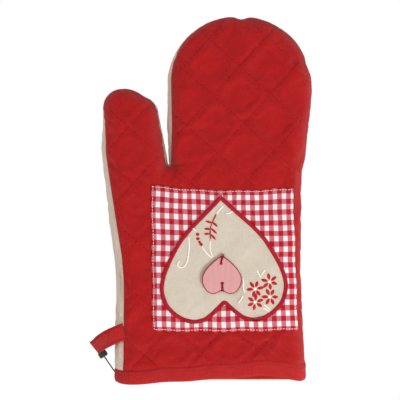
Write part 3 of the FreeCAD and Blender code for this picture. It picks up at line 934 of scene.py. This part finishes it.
heart_spots, heart_faces = filled(heart_loop(*big, 1.6), 2.2)
heart_points = [on_patch(p.x, p.y, 0.45) for p in heart_spots]
heart_flat = [(p.x * mm, p.y * mm) for p in heart_spots]
applique = mesh_object("heart_cloth", heart_points, heart_faces, linen, heart_flat)
applique = thicken(applique, 0.3 * mm)
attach(applique, "palm")
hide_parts("heart_applique")
rim = heart_loop(*big, 1.6)
cloth_top = BVHTree.FromObject(applique, bpy.context.evaluated_depsgraph_get())


def on_heart(x, y, above=0.0):
    """Point on the applique, or beside it, in metres."""
    hit = cloth_top.ray_cast(Vector((x, y, 80)) * mm, Vector((0, 0, -1)))[0]
    return hit + Vector((0, 0, above * mm)) if hit else on_patch(x, y, above)


def edge_run(inset, above, step=1.0):
    run = [on_patch(*p, above) for p in heart_loop(*big, inset, step)]
    return run + run[:1]


made = stitches("heart_satin_border", [edge_run(1.45, 1.05)], 0.34 * mm, 3.0 * mm, 0.5 * mm, satin,
                across=True, wobble=0.05)
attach(made, "palm")
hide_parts("heart_border")
# Thin tubes run along both edges of the satin border in the darker edge thread. Their colour is painted shade
# where the raised satin meets the cloth.
for name, inset in (("heart_edge_outside", 0.15), ("heart_edge_inside", 2.75)):
    made, _ = tube(name, edge_run(inset, 0.6, 1.5), 0.3 * mm, edge_shade_thread, smooth=False)
    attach(made, "palm")

# Wooden button
# A thin painted board: flat top, softened edge, burnt rim, and two stitched holes.
top_level = sum(on_heart(x, y).z for x, y in ((17.6, -50), (8, -66), (27, -66), (17.6, -60))) / 4 / mm - 0.3
thick = 3.0
steps_up = [
    (0.5, 0.0, 1), (0.1, 0.3, 1), (0.0, 1.2, 1), (0.05, 2.5, 1), (0.3, 2.85, 1), (0.7, thick, 0.6),
    (1.1, thick, 0.0),
]
rings, burnt = [], []
for inset, level, dark in steps_up:
    loop = heart_loop(*small, 0.0, 0.5)
    close = heart_loop(*small, inset, 0.5) if inset else loop
    even = np.linspace(0, len(close), len(loop), endpoint=False)
    wrapped = np.vstack([close, close[:1]])
    ring = np.column_stack([np.interp(even, np.arange(len(close) + 1), wrapped[:, i]) for i in (0, 1)])
    rings.append(np.column_stack((ring, np.full(len(ring), top_level + level))))
    burnt += [dark] * len(ring)
number = len(rings[0])
board = np.vstack(rings)
walls = [f[::-1] for f in grid_faces(len(rings), number, loop=True)]
board_spots, board_faces = filled(rings[-1][:, :2], 0.8)
holes = [(16.8, -51.0), (17.9, -66.9)]
start = len(board)
board = np.vstack([board, [(p.x, p.y, top_level + thick) for p in board_spots]])
for p in board_spots:
    near = min(math.hypot(p.x - a, p.y - b) for a, b in holes)
    burnt.append(1.0 if near < 1.25 else 0.0)
board_top = [tuple(i + start for i in f) for f in board_faces]
all_faces = walls + board_top + [tuple(range(number))]
button = mesh_object("heart_button_board", board * mm, all_faces, pink_wood, board[:, :2] * mm)
attribute = button.data.attributes.new("burnt", "FLOAT", "POINT")
attribute.data.foreach_set("value", burnt)
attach(button, "palm")
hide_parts("heart_button")
ends = (("top", holes[0], (18.5, -43.8)), ("bottom", holes[1], (18.2, -73.6)))
for name, hole, end in ends:
    made = []
    for strand, shift in (("a", -0.45), ("b", 0.4)):
        a, b = np.array((hole[0] + shift * 0.5, hole[1])), np.array((end[0] + shift * 1.6, end[1]))
        route = [(*a, 2.2), (*a, 3.2), (*(a + (b - a) * 0.2), 3.45), (*(a + (b - a) * 0.8), 3.4), (*b, 2.2)]
        route.append((b[0], b[1] + 0.1, 0.2))
        route = [(x * mm, y * mm, (top_level + z) * mm) for x, y, z in route]
        made.append(tube(f"button_thread_{name}_{strand}", route, 0.36 * mm, dark_thread)[0])
    for item in made:
        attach(item, "palm")
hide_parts("button_threads")


# Embroidery
# Leaves, buds and petals are small pads of parallel threads; stems and curls are single raised lines.
def pads(name, marks, stuff):
    """Raised almond pads. Each mark is (x, y, angle in degrees, length, width) in mm from its foot."""
    all_verts, all_faces, coords = [], [], []
    for x, y, angle, long, wide in marks:
        turn = math.radians(angle)
        base = len(all_verts)
        for i in range(9):
            t = i / 8
            half = wide / 2 * (math.sin(math.pi * min(1, max(0, 0.06 + 0.88 * t))) ** 0.8)
            for j in range(5):
                a = math.pi * j / 4
                along, side = long * t, -half * math.cos(a)
                lift = 0.45 * math.sin(a) * math.sin(math.pi * (0.15 + 0.7 * t))
                px = x + along * math.cos(turn) - side * math.sin(turn)
                py = y + along * math.sin(turn) + side * math.cos(turn)
                all_verts.append(on_heart(px, py, lift + 0.02))
                coords.append((along * mm, side * mm))
        all_faces += [tuple(base + v for v in f[::-1]) for f in grid_faces(9, 5)]
    return mesh_object(name, all_verts, all_faces, stuff, coords)


def lines_of_thread(name, lines, radius, stuff):
    """Raised lines through points in mm, joined as one object."""
    made = []
    for k, line in enumerate(lines):
        route = [on_heart(x, y, radius * 0.7) for x, y in line]
        made.append(tube(f"{name}_{k}", route, radius * mm, stuff)[0])
    with bpy.context.temp_override(active_object=made[0], selected_editable_objects=made):
        bpy.ops.object.join()
    made[0].name = name
    return made[0]


leaf_marks = [
    (9.6, -18.4, 165, 5.4, 1.9), (9.8, -17.6, -42, 5.8, 1.9), (8.7, -23.4, 178, 5.4, 1.9),
    (8.9, -22.8, -43, 6.4, 1.9), (8.1, -27.2, 182, 5.0, 1.9), (8.4, -27.4, -47, 6.2, 1.9),
    (10.2, -17.4, 62, 6.4, 1.1),
]
flower_marks = []
for x, y, start in ((44.5, -71.7, 10), (56.1, -65.8, 40), (44.5, -82.4, 25), (56.6, -78.0, 0)):
    for k in range(6):
        turn = math.radians(start + 60 * k + rng.uniform(-6, 6))
        foot = (x + 1.6 * math.cos(turn), y + 1.6 * math.sin(turn))
        flower_marks.append((*foot, math.degrees(turn), 5.2 + rng.uniform(-0.5, 0.4), 2.7))
bud_marks = [
    (-3.4, -27.4, -10, 3.0, 2.8), (-3.2, -31.0, -6, 3.0, 2.6), (-1.6, -33.4, -20, 2.6, 2.2),
    (-0.6, -35.6, -8, 3.0, 2.6),
]
stem_line = [(13.0, -11.6), (10.0, -17.6), (8.5, -22.2), (8.0, -27.0), (8.5, -31.6)]
sprig_stem = lines_of_thread("sprig_stem", [stem_line], 0.42, satin)
curls = lines_of_thread("scrolls", [
    [(1.6, -37.6), (3.4, -40.6), (6.4, -44.0), (9.6, -46.6)],
    [(8.3, -33.0), (7.8, -37.4), (8.4, -41.6), (10.6, -46.0)],
    [(-9.2, -29.6), (-8.6, -36.0), (-9.2, -43.0), (-10.4, -50.0), (-13.2, -54.6), (-17.4, -54.2),
     (-18.6, -51.0), (-16.2, -49.0)],
    [(18.7, -5.0), (15.8, -7.4), (13.4, -11.0)],
    [(21.0, -11.0), (24.0, -10.8), (26.2, -9.2)],
    [(52.2, -56.6), (50.8, -58.6), (49.2, -60.4)],
    [(45.8, -56.8), (47.4, -59.4), (48.8, -62.2)],
    [(33.9, -62.6), (35.6, -65.6), (34.2, -69.4)],
    [(35.4, -66.0), (33.6, -70.6), (36.4, -74.6)],
    [(30.8, -83.0), (33.0, -80.6), (34.4, -77.4)],
    [(51.4, -84.2), (54.2, -86.0), (56.4, -88.6)],
    [(51.0, -86.8), (55.8, -89.8)],
    [(-5.6, -22.8), (-3.4, -25.0)],
], 0.5, cream_thread)
flower_middles = ((44.3, -71.7), (44.3, -82.2), (56.0, -78.0), (55.9, -65.9))
centres = pads("flower_centres", [(x - 1.1, y, 0, 2.2, 2.0) for x, y in flower_middles], cream_thread)
embroidery = (
    (pads("sprig_leaves", leaf_marks, satin), "embroidered_sprig", "red_satin_thread"),
    (pads("buds", bud_marks, satin), "embroidered_buds", "red_satin_thread"),
    (pads("flowers", flower_marks, satin), "embroidered_flowers", "red_satin_thread"),
    (curls, "embroidered_scrolls", "cream_thread"),
    (sprig_stem, None, "red_satin_thread"),
    (centres, None, "cream_thread"),
)
for made, node, slot_name in embroidery:
    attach(made, "palm")
    if node:
        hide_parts(node)

# Hanging loop
# Tape folded back on itself and sewn into the seam. It leaves the seam nearly square and turns down.
root = np.array((-63.3, -107.0, 32.9))
tape_line = np.array([
    (-3.6, -3.4), (-1.8, -1.5), (0.6, 0.1), (5.0, 0.25), (10.0, -0.6), (16.0, -5.2), (21.5, -10.2),
    (26.4, -15.8), (28.6, -22.0), (28.9, -28.0), (27.4, -31.2), (24.6, -31.3), (22.4, -29.4),
    (20.4, -25.0), (16.6, -17.4), (12.2, -9.6), (9.0, -4.8), (5.4, -1.6), (2.6, -1.1), (0.6, -1.2),
    (-1.8, -2.8), (-3.6, -4.6),
])
gaps = lengths_along(tape_line)
even = np.linspace(0, gaps[-1], 70)
path = np.column_stack([np.interp(even, gaps, tape_line[:, i]) for i in (0, 1)])
for _ in range(4):
    path[1:-1] = (path[:-2] + 2 * path[1:-1] + path[2:]) / 4
tape, coords = [], []
for k, (out, up) in enumerate(path):
    turn = math.radians(199 + 20 * min(1.0, out / 26))
    mean = math.radians(199 + 12.5 * min(1.0, out / 26))
    centre = root + np.array((out * math.cos(mean), out * math.sin(mean), up))
    side = np.array((math.sin(turn), -math.cos(turn), 0))
    for j in range(9):
        across = (j / 8 - 0.5) * (11.1 + 2.6 * (1 - (max(out, 0) / 29) ** 2))
        cup = 0.12 * math.cos(math.pi * j / 8 * 2) * math.sin(out)
        tape.append(centre + side * across + np.array((0, 0, cup)))
        coords.append((even[k] * mm, across * mm))
loop_tape = mesh_object("loop_tape", np.array(tape) * mm, grid_faces(len(path), 9), binding_cotton, coords)
loop_tape = thicken(loop_tape, 1.0 * mm)
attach(loop_tape, "loop")
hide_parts("hanging_loop")
tape = np.array(tape).reshape(len(path), 9, 3)
sewn = []
for j in (1, 7):
    sewn.append([Vector(tape[k, j] * mm) + Vector((0.0, 0.0, 0.25 * mm)) for k in range(3, 26)])
made = stitches("loop_stitching", sewn, 2.3 * mm, 1.8 * mm, 0.4 * mm, red_thread)
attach(made, "loop")

# Tag, its cord and its lock
# The cord runs from the lock beside the loop, past the cuff's corner, into the mouth, to the blank card.
turn = math.radians(32)
lock = bpy.data.meshes.new("tag_lock_block")
block = bmesh.new()
bmesh.ops.create_cube(block, size=1.0)
for vert in block.verts:
    x, y, z = vert.co.x * 7.0, vert.co.y * 5.2, vert.co.z * 6.0
    along, across = x * math.cos(turn) - y * math.sin(turn), x * math.sin(turn) + y * math.cos(turn)
    vert.co = Vector((-80.55 + along, -127.62 + across, 4.4 + z)) * mm
bmesh.ops.bevel(block, geom=block.edges[:], offset=0.7 * mm, segments=3, affect="EDGES")
block.to_mesh(lock)
block.free()
lock.materials.append(dark_plastic)
lock.materials.append(pale_plastic)
for face in lock.polygons:
    face.use_smooth = False
    face.material_index = 1 if face.center.y < -129.2 * mm else 0
lock = new_object("tag_lock_block", lock)
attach(lock, "loop")
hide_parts("tag_lock")
route = [
    (-79.1, -129.9, 4.4), (-74.0, -137.8, 2.4), (-68.8, -145.2, 2.6), (-63.4, -147.8, 5.8),
    (-56.8, -147.6, 10.6), (-51.0, -143.0, 11.4), (-47.6, -137.8, 7.9),
]
cord, path_points = tube("tag_cord_line", [tuple(c * mm for c in p) for p in route], 0.5 * mm, cord_stuff)
tuple(c * mm for c in route[0])
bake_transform(cord)
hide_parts("tag_cord")
card_mesh = bpy.data.meshes.new("tag_card_blank")
sheet_of_card = bmesh.new()
outline_card = []
for cx, cy, a0 in ((-23, -93, 0), (-49, -93, 90), (-49, -138.5, 180), (-23, -138.5, 270)):
    for k in range(7):
        a = math.radians(a0 + 15 * k)
        spot = Vector((cx + 3 * math.cos(a), cy + 3 * math.sin(a), 7.25)) * mm
        outline_card.append(sheet_of_card.verts.new(spot))
sheet_of_card.faces.new(outline_card)
sheet_of_card.to_mesh(card_mesh)
sheet_of_card.free()
card_mesh.materials.append(card)
tag = thicken(new_object("tag_card_blank", card_mesh), 0.6 * mm, outward=True)
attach(tag, "palm")
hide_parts("hang_tag")

# Stage
# Pale floor that is plain white to the camera, a soft key from the lower right, a weak fill and an even sky.
bpy.ops.mesh.primitive_plane_add(size=60, location=(0, 0, -0.0002))
floor = bpy.context.object
floor.name = "floor"
paper = bpy.data.materials.new("paper")
paper.use_nodes = True
tree = paper.node_tree
shader = tree.nodes["Principled BSDF"]
shader.inputs["Base Color"].default_value = (0.86, 0.86, 0.86, 1)
shader.inputs["Roughness"].default_value = 1.0
glow = tree.nodes.new("ShaderNodeEmission")
glow.inputs["Strength"].default_value = 1.0
rays = tree.nodes.new("ShaderNodeLightPath")
blend_node = tree.nodes.new("ShaderNodeMixShader")
tree.links.new(rays.outputs["Is Camera Ray"], blend_node.inputs[0])
tree.links.new(shader.outputs[0], blend_node.inputs[1])
tree.links.new(glow.outputs[0], blend_node.inputs[2])
tree.links.new(blend_node.outputs[0], tree.nodes["Material Output"].inputs["Surface"])
floor.data.materials.append(paper)

world = bpy.data.worlds.new("sky")
scene.world = world
world.use_nodes = True
world.node_tree.nodes["Background"].inputs["Color"].default_value = (1, 1, 1, 1)
world.node_tree.nodes["Background"].inputs["Strength"].default_value = 0.62


def lamp(name, place, aim, power, breadth):
    light = bpy.data.lights.new(name, "AREA")
    light.energy, light.size = power, breadth
    made = new_object(name, light)
    made.location = place
    made.rotation_euler = (Vector(aim) - Vector(place)).to_track_quat("-Z", "Y").to_euler()


lamp("key", (0.65, -0.65, 0.8), (0, -0.03, 0), 10.5, 0.5)
lamp("fill", (-0.7, 0.3, 1.0), (0, 0, 0), 3.0, 0.9)

camera = new_object("camera", bpy.data.cameras.new("camera"))
camera.data.lens, camera.data.sensor_width = 120, 36
camera.location = (0, 0, 0.025 + 0.3252 * 120 / 36)
camera.rotation_euler = (0, 0, 0)
scene.camera = camera
scene.view_settings.view_transform = "Standard"
scene.render.resolution_x = scene.render.resolution_y = 400
